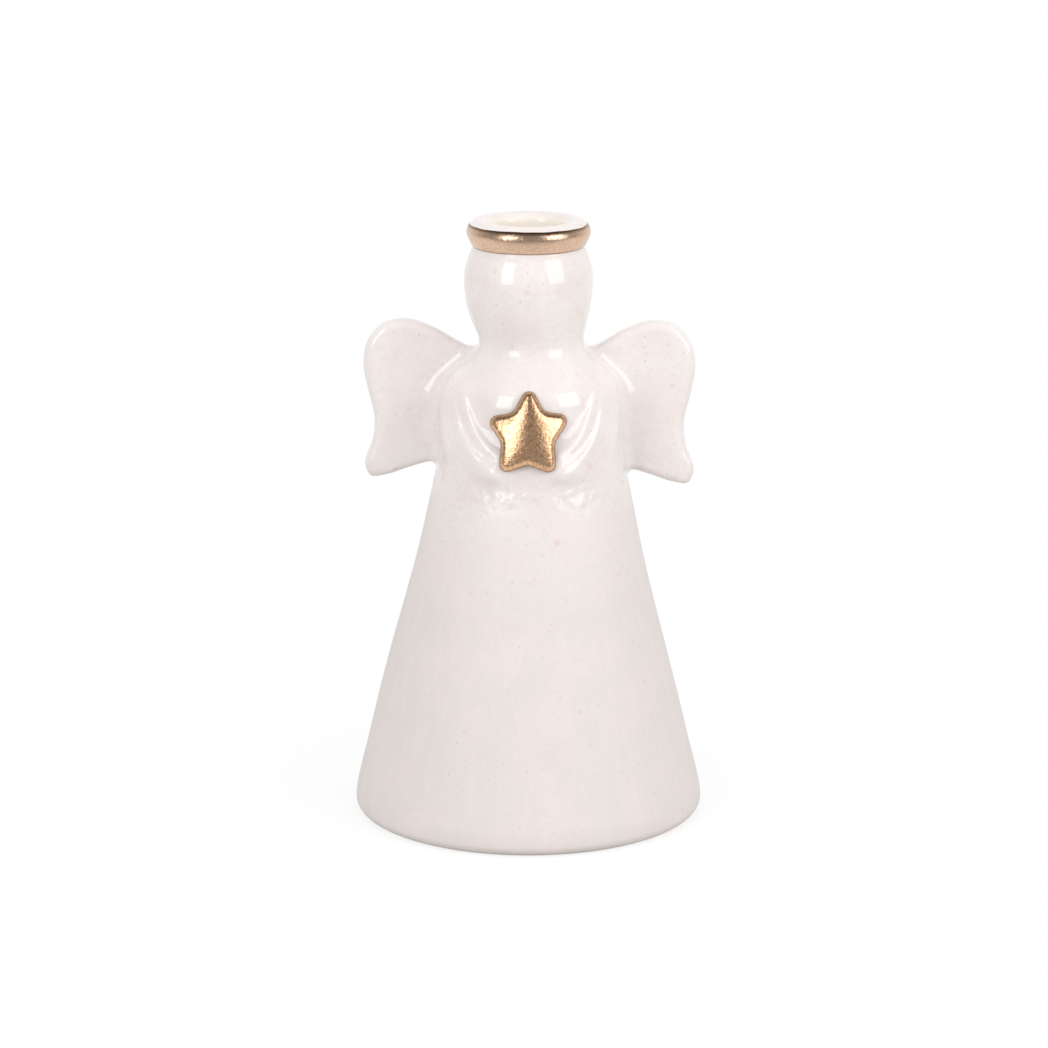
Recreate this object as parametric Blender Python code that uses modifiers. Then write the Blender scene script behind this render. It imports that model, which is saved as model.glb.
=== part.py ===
"""Angel candle holder: one hollow glazed ceramic casting with a gilt halo rim and a gilt star.

The body stands on the foot ring at z = 0 with the candle socket straight above the origin.
The front, with the star and the folded arms, faces -Y, and the wings spread along X.
"""

import math

import bmesh
import bpy

MM = 0.001

# Heights, stacked from the foot up
SKIRT_HEIGHT = 104.0 * MM
TORSO_HEIGHT = 38.2 * MM
HEAD_HEIGHT = 28.4 * MM
HALO_HEIGHT = 7.0 * MM
LIP_RISE = 1.1 * MM

# Outside radii of the turned body
BASE_RADIUS = 52.2 * MM
WAIST_RADIUS = 28.4 * MM
NECK_RADIUS = 14.9 * MM
HEAD_RADIUS = 18.9 * MM
CROWN_RADIUS = 16.8 * MM
HALO_PROUD = 1.6 * MM
LIP_RADIUS = 14.7 * MM
FOOT_ROUNDING = 3.2 * MM
HEAD_WIDEST = 18.4 * MM

# Candle socket and the hollow under it
SOCKET_DIAMETER = 22.4 * MM
SOCKET_DEPTH = 23.0 * MM
SOCKET_FLOOR_ROUNDING = 2.0 * MM
WALL = 4.2 * MM
FOOT_RING_WIDTH = 5.0 * MM
CEILING_ROUNDING = 2.0 * MM

# Wings, as seen from the front
WING_THICKNESS = 7.0 * MM
WING_EDGE_ROUNDING = 2.4 * MM
WING_SETBACK = 5.5 * MM
LEFT_WING_REACH = 48.9 * MM
LEFT_WING_LENGTH = 47.6 * MM
LEFT_WING_ABOVE_NECK = 5.9 * MM
RIGHT_WING_REACH = 49.4 * MM
RIGHT_WING_LENGTH = 49.2 * MM
RIGHT_WING_ABOVE_NECK = 5.3 * MM

# Star on the chest
STAR_TIP_RADIUS = 13.9 * MM
STAR_NOTCH_RADIUS = 7.7 * MM
STAR_TIP_ROUNDING = 1.8 * MM
STAR_NOTCH_ROUNDING = 3.0 * MM
STAR_TALLNESS = 1.06
STAR_ABOVE_WAIST = 17.0 * MM
STAR_LEAN = 13.0
STAR_PROUD = 4.0 * MM
STAR_PUFF = 1.7 * MM
STAR_BEDDING = 6.0 * MM

# Arms in low relief
SLEEVE_THICKNESS = 9.2 * MM
SLEEVE_PROUD = 1.7 * MM
FOREARM_THICKNESS = 5.0 * MM
FOREARM_PROUD = 2.0 * MM

# Fineness of the round shapes
BODY_STEPS = 60
HOLLOW_STEPS = 40
ARC_STEPS = 4
TUBE_SIDES = 2

NECK_Z = SKIRT_HEIGHT + TORSO_HEIGHT
CROWN_Z = NECK_Z + HEAD_HEIGHT
HALO_TOP_Z = CROWN_Z + HALO_HEIGHT
TOP_Z = HALO_TOP_Z + LIP_RISE
SOCKET_RADIUS = SOCKET_DIAMETER / 2
SOCKET_FLOOR_Z = TOP_Z - SOCKET_DEPTH
HALO_RADIUS = CROWN_RADIUS + HALO_PROUD
HALO_EDGE_RADIUS = (LIP_RADIUS + 2 * HALO_RADIUS) / 3

# Skirt flare: share of the skirt's height, share of the way from the waist radius to the base radius
SKIRT_FLARE = (
    (0.055, 0.985),
    (0.10, 0.945),
    (0.19, 0.845),
    (0.34, 0.69),
    (0.48, 0.53),
    (0.63, 0.36),
    (0.77, 0.205),
    (0.885, 0.095),
)
# Torso: share of the torso's height, share of the way from the neck radius to the waist radius
TORSO_SHAPE = (
    (0.22, 0.91),
    (0.39, 0.83),
    (0.52, 0.755),
    (0.63, 0.685),
    (0.71, 0.61),
    (0.78, 0.49),
    (0.84, 0.37),
    (0.92, 0.20),
    (0.97, 0.08),
)
# Lower head: share of the way up to its widest height, share of the way from neck to head radius
LOWER_HEAD = ((0.10, 0.03), (0.24, 0.27), (0.40, 0.58), (0.60, 0.83), (0.80, 0.96), (1.0, 1.0))
UPPER_HEAD_SHARES = (0.3, 0.55, 0.78, 1.0)
# Halo: share of its height where it is widest, and how far its flank bows out
HALO_WIDEST = 0.76
HALO_BOW = 1.3

# Wing outline from its root in the body: share of the reach, share of the length below the top
WING_OUTLINE = (
    (0.28, 0.235),
    (0.442, 0.133),
    (0.596, 0.045),
    (0.745, 0.0),
    (0.879, 0.029),
    (0.972, 0.13),
    (1.0, 0.265),
    (0.977, 0.425),
    (0.935, 0.63),
    (0.947, 0.756),
    (0.995, 0.93),
    (0.962, 0.995),
    (0.882, 0.99),
    (0.73, 0.94),
    (0.57, 0.893),
    (0.30, 0.85),
)

# Arms: degrees round from the front, share of the torso's height, share of the full thickness
SLEEVE_PATH = (
    (76, 0.84, 0.55),
    (63, 0.70, 0.9),
    (49, 0.48, 1.0),
    (37, 0.28, 1.0),
    (28, 0.17, 1.0),
    (23.5, 0.115, 0.85),
    (21.5, 0.085, 0.5),
)
FOREARM_PATH = (
    (62, 0.80, 0.5),
    (47, 0.64, 0.95),
    (33, 0.45, 1.0),
    (20, 0.27, 1.0),
    (14, 0.19, 0.65),
)


def remove_everything():
    for item in list(bpy.data.objects):
        bpy.data.objects.remove(item, do_unlink=True)


def new_collection(name, shown):
    collection = bpy.data.collections.new(name)
    bpy.context.scene.collection.children.link(collection)
    collection.hide_render = not shown
    return collection


def principled(name, colour, roughness, metallic, coat):
    """A material with one Principled shader."""
    material = bpy.data.materials.new(name)
    material.use_nodes = True
    shader = material.node_tree.nodes["Principled BSDF"]
    shader.inputs["Base Color"].default_value = (*colour, 1.0)
    shader.inputs["Roughness"].default_value = roughness
    shader.inputs["Metallic"].default_value = metallic
    shader.inputs["Coat Weight"].default_value = coat
    material.diffuse_color = (*colour, 1.0)
    return material


def add_object(name, mesh, collection, material):
    item = bpy.data.objects.new(name, mesh)
    collection.objects.link(item)
    item.data.materials.append(material)
    return item


def as_mesh(curve_object, collection):
    """The curve's evaluated shape as a mesh object of the same name, its caps welded on."""
    bpy.context.view_layer.update()
    graph = bpy.context.evaluated_depsgraph_get()
    mesh = bpy.data.meshes.new_from_object(curve_object.evaluated_get(graph))
    name = curve_object.name
    matrix = curve_object.matrix_world.copy()
    bpy.data.objects.remove(curve_object, do_unlink=True)
    shape = bmesh.new()
    shape.from_mesh(mesh)
    bmesh.ops.remove_doubles(shape, verts=shape.verts, dist=1e-6)
    bmesh.ops.recalc_face_normals(shape, faces=shape.faces)
    shape.to_mesh(mesh)
    shape.free()
    item = bpy.data.objects.new(name, mesh)
    item.matrix_world = matrix
    collection.objects.link(item)
    return item


def as_helper(item):
    """Hides an object that only adds to or cuts the casting."""
    item.hide_render = True
    item.display_type = "WIRE"
    return item


def turned(name, profile, steps, collection, material, closed_section=False):
    """A profile of (radius, height) points, top to bottom on its outer side, spun about Z."""
    mesh = bpy.data.meshes.new(name)
    count = len(profile)
    edges = [(i, i + 1) for i in range(count - 1)]
    if closed_section:
        edges.append((count - 1, 0))
    mesh.from_pydata([(r, 0.0, z) for r, z in profile], edges, [])
    item = add_object(name, mesh, collection, material)
    screw = item.modifiers.new("Spin", "SCREW")
    screw.axis = "Z"
    screw.angle = math.tau
    screw.steps = steps
    screw.render_steps = steps
    screw.use_merge_vertices = True
    screw.merge_threshold = 1e-6
    screw.use_smooth_shade = True
    return item


def combine(item, operation, other):
    boolean = item.modifiers.new(operation.title() + " " + other.name, "BOOLEAN")
    boolean.operation = operation
    boolean.solver = "EXACT"
    boolean.material_mode = "TRANSFER"
    boolean.object = other


def arc(centre, radius, start, end, steps):
    """Points on a circle's arc, from one angle in degrees to another."""
    points = []
    for i in range(steps + 1):
        angle = math.radians(start + (end - start) * i / steps)
        points.append((centre[0] + radius * math.cos(angle), centre[1] + radius * math.sin(angle)))
    return points


def skirt_points():
    """Waist to the top of the rounded foot, top to bottom."""
    flare = BASE_RADIUS - WAIST_RADIUS
    return [(WAIST_RADIUS + flare * out, SKIRT_HEIGHT * up) for up, out in reversed(SKIRT_FLARE)]


def torso_points():
    """Just under the neck to just above the waist, top to bottom."""
    spread = WAIST_RADIUS - NECK_RADIUS
    shape = reversed(TORSO_SHAPE)
    return [(NECK_RADIUS + spread * out, SKIRT_HEIGHT + TORSO_HEIGHT * up) for up, out in shape]


def robe_points():
    """Outside of the robe from the neck to the rounded foot."""
    return [(NECK_RADIUS, NECK_Z)] + torso_points() + [(WAIST_RADIUS, SKIRT_HEIGHT)] + skirt_points()


def head_points():
    """Crown, under the halo, down to the neck: a quarter round above the widest ring, a soft S below."""
    widest_z = NECK_Z + HEAD_WIDEST
    above = HEAD_HEIGHT - HEAD_WIDEST
    bulge = HEAD_RADIUS - CROWN_RADIUS
    swell = HEAD_RADIUS - NECK_RADIUS
    upper = [(CROWN_RADIUS + bulge * (1 - up * up), widest_z + above * up) for up in UPPER_HEAD_SHARES]
    lower = [(NECK_RADIUS + swell * out, NECK_Z + HEAD_WIDEST * up) for up, out in LOWER_HEAD]
    return upper[::-1] + lower[-2::-1]


def lip_points():
    """Socket mouth over the lip's crest to the halo's inner edge."""
    inner = LIP_RADIUS - SOCKET_RADIUS
    outer = HALO_EDGE_RADIUS - LIP_RADIUS
    points = []
    for i in range(ARC_STEPS + 1):
        angle = math.pi - math.pi / 2 * i / ARC_STEPS
        drop = 2 * LIP_RISE * (1 - math.sin(angle))
        points.append((LIP_RADIUS + inner * math.cos(angle), TOP_Z - drop))
    for i in range(1, ARC_STEPS):
        share = i / (ARC_STEPS - 1)
        points.append((LIP_RADIUS + outer * share, TOP_Z - LIP_RISE * share * share))
    return points


def socket_points():
    """Middle of the socket's floor to the foot of its mouth."""
    rounding = SOCKET_FLOOR_ROUNDING
    corner = arc((SOCKET_RADIUS - rounding, SOCKET_FLOOR_Z + rounding), rounding, 270, 360, 2)
    return [(0.0, SOCKET_FLOOR_Z)] + corner


def foot_points():
    """Rounded bottom edge and the flat underside to the middle."""
    centre = (BASE_RADIUS - FOOT_ROUNDING, FOOT_ROUNDING)
    return arc(centre, FOOT_ROUNDING, 0, -90, ARC_STEPS) + [(0.0, 0.0)]


def body_radius(height):
    """Outside radius of the skirt and torso at a height, along straight runs between their points."""
    points = robe_points()
    for (upper_r, upper_z), (lower_r, lower_z) in zip(points, points[1:]):
        if lower_z <= height <= upper_z:
            return lower_r + (upper_r - lower_r) * (height - lower_z) / (upper_z - lower_z)
    return points[0][0]


def make_body(collection, glaze):
    crown = [(CROWN_RADIUS, HALO_TOP_Z - LIP_RISE)]
    profile = socket_points() + lip_points() + crown + head_points() + robe_points() + foot_points()
    return turned("angel_body", profile, BODY_STEPS, collection, glaze)


def make_halo(collection, gold):
    """A rounded ring round the top of the head, its inside sunk in the wall."""
    sunk = (CROWN_RADIUS + SOCKET_RADIUS) / 2
    middle_z = CROWN_Z + HALO_HEIGHT * HALO_WIDEST
    points = [(HALO_EDGE_RADIUS, HALO_TOP_Z)]
    for share in (0.35, 0.7, 1.0):
        out = HALO_EDGE_RADIUS + (HALO_RADIUS - HALO_EDGE_RADIUS) * math.sin(share * math.pi / 2)
        points.append((out, HALO_TOP_Z - (HALO_TOP_Z - middle_z) * (1 - math.cos(share * math.pi / 2))))
    for share in (0.35, 0.7, 1.0):
        out = HALO_RADIUS - (HALO_RADIUS - CROWN_RADIUS) * share ** HALO_BOW
        points.append((out, middle_z - (middle_z - CROWN_Z) * share))
    points += [(sunk, CROWN_Z), (sunk, HALO_TOP_Z)]
    return as_helper(turned("halo_ring", points, BODY_STEPS, collection, gold, closed_section=True))


def make_hollow(collection, glaze):
    """The space inside the casting, one wall in from the outside and open under the foot."""
    ceiling_z = SOCKET_FLOOR_Z - WALL
    neck_inside = NECK_RADIUS - WALL
    points = [(0.0, ceiling_z)]
    rounding = CEILING_ROUNDING
    points += arc((neck_inside - rounding, ceiling_z - rounding), rounding, 90, 0, 2)
    points += [(neck_inside, NECK_Z - WALL)]
    points += [(r - WALL, z - WALL / 2) for r, z in torso_points()[2::2]]
    points += [(r - WALL, z) for r, z in skirt_points()[1:-1:2]]
    points += [(BASE_RADIUS - FOOT_RING_WIDTH - FOOT_ROUNDING / 2, FOOT_ROUNDING)]
    points += [(BASE_RADIUS - FOOT_RING_WIDTH - FOOT_ROUNDING / 2, -WALL), (0.0, -WALL)]
    return as_helper(turned("hollow", points, HOLLOW_STEPS, collection, glaze))


def make_wing(name, side, reach, length, top, collection, glaze):
    """A plate of one smooth outline with rounded edges. Side is -1 for -X and 1 for +X."""
    curve = bpy.data.curves.new(name, "CURVE")
    curve.dimensions = "2D"
    curve.fill_mode = "BOTH"
    curve.extrude = WING_THICKNESS / 2 - WING_EDGE_ROUNDING
    curve.bevel_depth = WING_EDGE_ROUNDING
    curve.bevel_resolution = 1
    curve.offset = -WING_EDGE_ROUNDING
    curve.resolution_u = 4
    spline = curve.splines.new("BEZIER")
    spline.bezier_points.add(len(WING_OUTLINE) - 1)
    for point, (out, down) in zip(spline.bezier_points, WING_OUTLINE):
        point.co = (side * reach * out, top - length * down, 0.0)
        point.handle_left_type = "AUTO"
        point.handle_right_type = "AUTO"
    spline.use_cyclic_u = True
    flat = bpy.data.objects.new(name, curve)
    flat.rotation_euler = (math.pi / 2, 0.0, 0.0)
    flat.location = (0.0, WING_SETBACK, 0.0)
    collection.objects.link(flat)
    wing = as_mesh(flat, collection)
    wing.data.materials.append(glaze)
    return as_helper(wing)


def make_arm(name, path, thickness, proud, collection, glaze):
    """A tapering round bar laid along the body, mirrored to the other side."""
    curve = bpy.data.curves.new(name, "CURVE")
    curve.dimensions = "3D"
    curve.bevel_depth = thickness / 2
    curve.bevel_resolution = TUBE_SIDES
    curve.use_fill_caps = True
    curve.resolution_u = 3
    spline = curve.splines.new("BEZIER")
    spline.bezier_points.add(len(path) - 1)
    for point, (degrees, up, share) in zip(spline.bezier_points, path):
        height = SKIRT_HEIGHT + TORSO_HEIGHT * up
        out = body_radius(height) + proud - thickness / 2
        angle = math.radians(degrees)
        point.co = (out * math.sin(angle), -out * math.cos(angle), height)
        point.radius = share
        point.handle_left_type = "AUTO"
        point.handle_right_type = "AUTO"
    bar = bpy.data.objects.new(name, curve)
    collection.objects.link(bar)
    arm = as_mesh(bar, collection)
    arm.data.materials.append(glaze)
    mirror = arm.modifiers.new("Other side", "MIRROR")
    mirror.use_mirror_merge = False
    return as_helper(arm)


def rounded_star():
    """Outline of a five-pointed star, each corner an arc that touches its two edges."""
    corners = []
    for i in range(10):
        radius = STAR_NOTCH_RADIUS if i % 2 else STAR_TIP_RADIUS
        angle = math.radians(90 + 36 * i)
        corners.append((radius * math.cos(angle), radius * math.sin(angle)))
    outline = []
    for i, (x, y) in enumerate(corners):
        rounding = STAR_NOTCH_ROUNDING if i % 2 else STAR_TIP_ROUNDING
        before = math.atan2(corners[i - 1][1] - y, corners[i - 1][0] - x)
        after = math.atan2(corners[(i + 1) % 10][1] - y, corners[(i + 1) % 10][0] - x)
        turn = (after - before + math.pi) % math.tau - math.pi
        half = turn / 2
        middle = before + half
        reach = rounding / math.sin(abs(half))
        centre = (x + reach * math.cos(middle), y + reach * math.sin(middle))
        sweep = math.degrees(math.pi - abs(turn))
        facing = math.degrees(middle + math.pi)
        side = 1 if turn > 0 else -1
        start = facing + side * sweep / 2
        outline += arc(centre, rounding, start, start - side * sweep, ARC_STEPS - 1)
    return outline


def make_star(collection, gold):
    """The star's outline as a puffed plate, upright on the chest."""
    height = SKIRT_HEIGHT + STAR_ABOVE_WAIST
    front = body_radius(height) + STAR_PROUD
    lean = math.radians(STAR_LEAN)
    middle = (STAR_PROUD + STAR_BEDDING) / 2
    curve = bpy.data.curves.new("star", "CURVE")
    curve.dimensions = "2D"
    curve.fill_mode = "BOTH"
    curve.extrude = middle - STAR_PUFF
    curve.bevel_depth = STAR_PUFF
    curve.bevel_resolution = 2
    curve.offset = -STAR_PUFF
    spline = curve.splines.new("POLY")
    outline = rounded_star()
    spline.points.add(len(outline) - 1)
    for point, (x, y) in zip(spline.points, outline):
        point.co = (x, y * STAR_TALLNESS, 0.0, 1.0)
    spline.use_cyclic_u = True
    flat = bpy.data.objects.new("star", curve)
    flat.rotation_euler = (math.pi / 2 - lean, 0.0, 0.0)
    flat.location = (0.0, -front + middle * math.cos(lean), height - middle * math.sin(lean))
    collection.objects.link(flat)
    star = as_mesh(flat, collection)
    star.data.materials.append(gold)
    return as_helper(star)


def main():
    remove_everything()
    glaze = principled("cream glaze", (0.83, 0.76, 0.73), 0.12, 0.0, 0.5)
    gold = principled("gold lustre", (0.55, 0.34, 0.17), 0.3, 1.0, 0.0)
    parts = new_collection("angel candle holder", True)
    helpers = new_collection("shapes added and cut", False)
    body = make_body(parts, glaze)
    body.data.materials.append(gold)
    combine(body, "UNION", make_halo(helpers, gold))
    left_top = NECK_Z + LEFT_WING_ABOVE_NECK
    right_top = NECK_Z + RIGHT_WING_ABOVE_NECK
    left = make_wing("left_wing", -1, LEFT_WING_REACH, LEFT_WING_LENGTH, left_top, helpers, glaze)
    right = make_wing("right_wing", 1, RIGHT_WING_REACH, RIGHT_WING_LENGTH, right_top, helpers, glaze)
    combine(body, "UNION", left)
    combine(body, "UNION", right)
    sleeves = make_arm("sleeves", SLEEVE_PATH, SLEEVE_THICKNESS, SLEEVE_PROUD, helpers, glaze)
    forearms = make_arm("forearms", FOREARM_PATH, FOREARM_THICKNESS, FOREARM_PROUD, helpers, glaze)
    combine(body, "UNION", sleeves)
    combine(body, "UNION", forearms)
    combine(body, "UNION", make_star(helpers, gold))
    combine(body, "DIFFERENCE", make_hollow(helpers, glaze))


main()
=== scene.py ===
import math
import bpy
import numpy as np
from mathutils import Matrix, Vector


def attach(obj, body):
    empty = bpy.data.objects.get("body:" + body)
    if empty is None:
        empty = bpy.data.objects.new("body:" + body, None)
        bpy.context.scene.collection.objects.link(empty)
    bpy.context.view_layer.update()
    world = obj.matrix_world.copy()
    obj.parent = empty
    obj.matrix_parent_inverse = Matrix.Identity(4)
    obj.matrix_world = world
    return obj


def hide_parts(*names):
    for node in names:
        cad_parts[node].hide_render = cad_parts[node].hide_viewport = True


# Angel candle holder: the glazed casting, its gilt halo rim and its gilt star, in soft studio light.
# Shapes are worked out in millimetres and put into the meshes in metres.

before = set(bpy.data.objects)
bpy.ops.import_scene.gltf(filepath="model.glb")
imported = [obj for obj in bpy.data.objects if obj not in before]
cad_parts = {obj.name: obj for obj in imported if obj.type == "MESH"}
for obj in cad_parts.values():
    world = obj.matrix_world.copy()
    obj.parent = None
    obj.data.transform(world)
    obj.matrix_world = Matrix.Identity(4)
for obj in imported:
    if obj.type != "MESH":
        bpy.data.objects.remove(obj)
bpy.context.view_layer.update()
mm = 0.001
nudge = 0.05  # mm either way, to take a slope


def linear(hexColour):
    # sRGB hex to the linear colour that a shader takes
    channel = np.array([int(hexColour[i:i + 2], 16) for i in (1, 3, 5)]) / 255
    return (*(np.where(channel <= 0.04045, channel / 12.92, ((channel + 0.055) / 1.055) ** 2.4)), 1.0)


def addNode(tree, kind, inputs=None, **settings):
    # one node, each input given as a value or as another node's output
    node = tree.nodes.new(kind)
    for name, value in settings.items():
        setattr(node, name, value)
    for name, value in (inputs or {}).items():
        if isinstance(value, bpy.types.NodeSocket):
            tree.links.new(value, node.inputs[name])
        else:
            node.inputs[name].default_value = value
    return node


def smoothThrough(knots, t):
    # cubic Hermite through (t, value) knots, each slope the mean slope of its neighbours
    at, value = np.array(knots, float).T
    slope = np.gradient(value, at)
    t = np.clip(t, at[0], at[-1])
    i = np.clip(np.searchsorted(at, t, side="right") - 1, 0, len(at) - 2)
    gap = at[i + 1] - at[i]
    s = (t - at[i]) / gap
    return ((1 + 2 * s) * (1 - s) ** 2 * value[i] + s * (1 - s) ** 2 * gap * slope[i]
            + s * s * (3 - 2 * s) * value[i + 1] + s * s * (s - 1) * gap * slope[i + 1])


def lengthAlong(points):
    # the distance run along the chords at each point
    return np.concatenate([[0], np.cumsum(np.linalg.norm(np.diff(points, axis=0), axis=1))])


def smoothPath(points, count):
    # the same cubic on each coordinate, by the length along the chords
    points = np.array(points, float)
    along = lengthAlong(points)
    t = np.linspace(0, along[-1], count)
    return np.stack([smoothThrough(np.stack([along, c], 1), t) for c in points.T], 1)


def smoothLoop(points, count):
    # a closed smoothPath: the loop is run three times and the middle turn kept
    points = np.array(points, float)
    tripled = np.concatenate([points, points, points, points[:1]])
    along = lengthAlong(tripled)
    start, end = along[len(points)], along[2 * len(points)]
    t = np.linspace(start, end, count, endpoint=False)
    return np.stack([smoothThrough(np.stack([along, c], 1), t) for c in tripled.T], 1)


def arcPoints(centre, radius, start, end, count):
    # circle's arc from one angle in degrees to another
    angle = np.radians(np.linspace(start, end, count))
    return np.stack([centre[0] + radius * np.cos(angle), centre[1] + radius * np.sin(angle)], 1)


casting = dict(
    # (height, radius) up the outside of the robe and head, mm
    outside=(
        (3.2, 52.1), (6.0, 51.85), (10.0, 51.0), (20.0, 48.5), (35.0, 44.92), (50.0, 41.06),
        (65.0, 37.04), (80.0, 33.28), (92.0, 30.72), (103.0, 28.5), (112.5, 26.9), (119.0, 25.8),
        (125.0, 25.0), (128.0, 24.65), (130.4, 24.0), (132.2, 23.0), (133.6, 21.9), (135.0, 20.6),
        (136.4, 19.25), (137.7, 18.1), (139.0, 17.05), (140.2, 16.25), (141.4, 15.75), (142.8, 15.5),
        (144.4, 15.65), (146.4, 16.25), (149.0, 17.1), (152.0, 17.92), (155.0, 18.48),
        (158.0, 18.85), (161.0, 18.97), (163.5, 18.75), (165.5, 18.31), (168.0, 17.55),
        (169.6, 16.85), (170.6, 16.3),
    ),
    # (height, shift towards +X) of the hand-finished casting's middle line, mm
    sway=((0.0, 0.0), (50.0, 0.0), (95.0, 0.7), (125.0, 0.9), (138.0, 1.0), (142.0, 0.9),
          (147.0, 0.4), (153.0, 0.0), (180.0, 0.0)),
    footRounding=3.2,
    footRingWidth=5.0,
    footRingBevel=0.5,
    wall=4.2,
    # heights down the hollow, the first at its neck; lower down its wall is set in from the outside
    hollowHeights=(138.0, 134.0, 129.0, 122.0, 112.0, 102.0, 90.0, 75.0, 60.0, 45.0, 30.0, 16.0),
    hollowNeckRadius=10.7,
    hollowTop=151.5,
    hollowCorner=2.0,
    socketRadius=11.2,
    socketFloor=155.7,
    socketCorner=2.0,
    lipRadius=14.7,
    top=178.7,
    # (out from the lip's or the socket's radius, down from the top) over the lip and into the mouth
    lip=((0.9, 0.12), (0.0, 0.0), (-1.2, 0.16)),
    mouth=((0.9, 0.9), (0.2, 1.9), (0.0, 3.0)),
    steps=192,  # round the turned parts
    headRows=40, rimRows=26, lipRows=22, boreRows=12, hollowRows=36, skirtRows=70,
    # mm above the foot's rounding, below the crown and in from the surface, where the outer surface ends
    outerFrom=0.5, outerTo=0.3, outerDepth=1.5,
)


def outsideRadius(height):
    return smoothThrough(casting["outside"], height)


def swayAt(height):
    return smoothThrough(casting["sway"], height)


def loopDistance(u, w, loop):
    # distance from (u, w) to a closed polygon, negative inside
    u, w = np.broadcast_arrays(u, w)
    nearest = np.full(u.shape, 1e9)
    inside = np.zeros(u.shape, bool)
    for (au, aw), (bu, bw) in zip(loop, np.roll(loop, -1, axis=0)):
        du, dw = bu - au, bw - aw
        share = np.clip(((u - au) * du + (w - aw) * dw) / (du * du + dw * dw), 0, 1)
        nearest = np.minimum(nearest, (u - au - share * du) ** 2 + (w - aw - share * dw) ** 2)
        if aw != bw:
            inside ^= ((aw > w) != (bw > w)) & (u < au + (w - aw) * du / dw)
    return np.where(inside, -1, 1) * np.sqrt(nearest)


def softUnion(a, b, radius):
    # the lower of two distances, with the corner between them filled to the radius
    overlap = np.maximum(radius - np.abs(a - b), 0) / radius
    return np.minimum(a, b) - overlap * overlap * radius / 4


wings = dict(
    thickness=7.0,
    edgeRounding=2.6,
    setback=5.5,
    outlinePoints=110,
    # (height, radius) of the glaze-filled corner between wing and body
    softening=((104.0, 3.5), (111.0, 4.5), (117.0, 9.0), (127.0, 10.0), (131.0, 7.5), (134.0, 5.8),
               (138.0, 5.4), (141.5, 4.5)),
    # (share of the reach, share of the length below the top) round the wing
    outline=(
        (0.28, 0.235), (0.442, 0.133), (0.596, 0.045), (0.745, 0.0), (0.879, 0.029), (0.972, 0.13),
        (1.0, 0.265), (0.977, 0.425), (0.935, 0.63), (0.947, 0.756), (0.995, 0.93), (0.962, 0.995),
        (0.882, 0.99), (0.73, 0.94), (0.57, 0.893), (0.30, 0.85),
    ),
    left=dict(side=-1, reach=48.9, length=47.6, top=148.1),
    right=dict(side=1, reach=49.4, length=49.2, top=147.5),
)


def wingDistance(x, y, z, wing):
    # plate with the outline in x and z, and its edges rounded: the outline's distance and the face's
    # distance are both let in by the rounding, and their corner distance is let out by it again
    side, reach, length, top = (wing[k] for k in ("side", "reach", "length", "top"))
    corners = [(side * reach * out, top - length * down) for out, down in wings["outline"]]
    loop = smoothLoop(corners, wings["outlinePoints"])
    rounding = wings["edgeRounding"]
    flat = loopDistance(x, z, loop) + rounding
    deep = np.abs(y - wings["setback"]) - wings["thickness"] / 2 + rounding
    corner = np.hypot(np.maximum(flat, 0), np.maximum(deep, 0))
    return corner + np.minimum(np.maximum(flat, deep), 0) - rounding


arms = dict(
    # middle line of the upper arm beside the body: out, towards the back, height, radius, mm
    upper=((18.6, -4.0, 130.2, 3.8), (19.9, -5.5, 127.6, 4.6), (20.7, -7.0, 123.5, 4.9),
           (20.6, -8.5, 118.5, 4.9), (19.6, -10.5, 113.5, 4.4)),
    # sleeve, crest seen from the front: out from the middle, height, radius, stands proud by, mm
    sleeve=((21.2, 127.6, 4.4, 0.1), (21.0, 124.0, 5.0, 0.35), (19.8, 118.5, 5.4, 0.5),
            (17.2, 113.6, 5.2, 0.6), (13.6, 110.4, 4.8, 0.7), (10.6, 109.4, 4.4, 0.7)),
    softening=4.5,
    foldsFade=6.0,  # mm in front of the middle plane over which the folds come in
    upperPoints=14, sleevePoints=22, foldPoints=20,
    # folds on it: out from the middle, height, reach inwards, reach outwards, stands proud by, mm
    folds=(
        ((19.4, 131.5, 1.2, 2.0, 0.02), (18.8, 128.2, 1.5, 2.4, 0.25), (17.9, 125.2, 1.7, 2.6, 0.45),
         (16.6, 122.0, 1.8, 2.6, 0.52), (15.0, 119.1, 1.8, 2.6, 0.56), (13.1, 116.8, 1.8, 2.6, 0.56),
         (11.1, 115.2, 1.8, 2.4, 0.5), (8.8, 114.0, 1.8, 2.2, 0.4)),
        ((21.6, 128.6, 1.4, 2.0, 0.02), (21.5, 125.0, 1.6, 2.4, 0.25), (21.0, 121.5, 1.7, 2.6, 0.42),
         (19.8, 118.3, 1.8, 2.8, 0.5), (18.2, 115.6, 1.8, 2.8, 0.52), (16.2, 113.2, 1.8, 2.8, 0.5),
         (13.8, 111.2, 1.8, 2.6, 0.2), (11.6, 110.2, 1.8, 2.4, 0.02)),
        ((15.6, 110.6, 4.0, 4.0, 0.2), (13.0, 108.6, 4.0, 4.6, 0.8), (10.2, 108.0, 4.0, 4.6, 0.8),
         (7.6, 108.8, 4.0, 4.0, 0.25)),
        ((0.0, 109.5, 6.0, 6.0, 0.6), (9.0, 110.0, 5.0, 6.0, 0.5)),
    ),
)


def armCentres(crests):
    # middle line and radius of a bar whose crest, seen from the front, runs through the given places
    out, height, radius, proud = smoothPath(crests, arms["sleevePoints"]).T
    reach = outsideRadius(height) + proud - radius
    across = np.clip(out * reach / (reach + radius), -reach, reach)
    return np.stack([across, -np.sqrt(reach ** 2 - across ** 2), height], 1), radius


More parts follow.
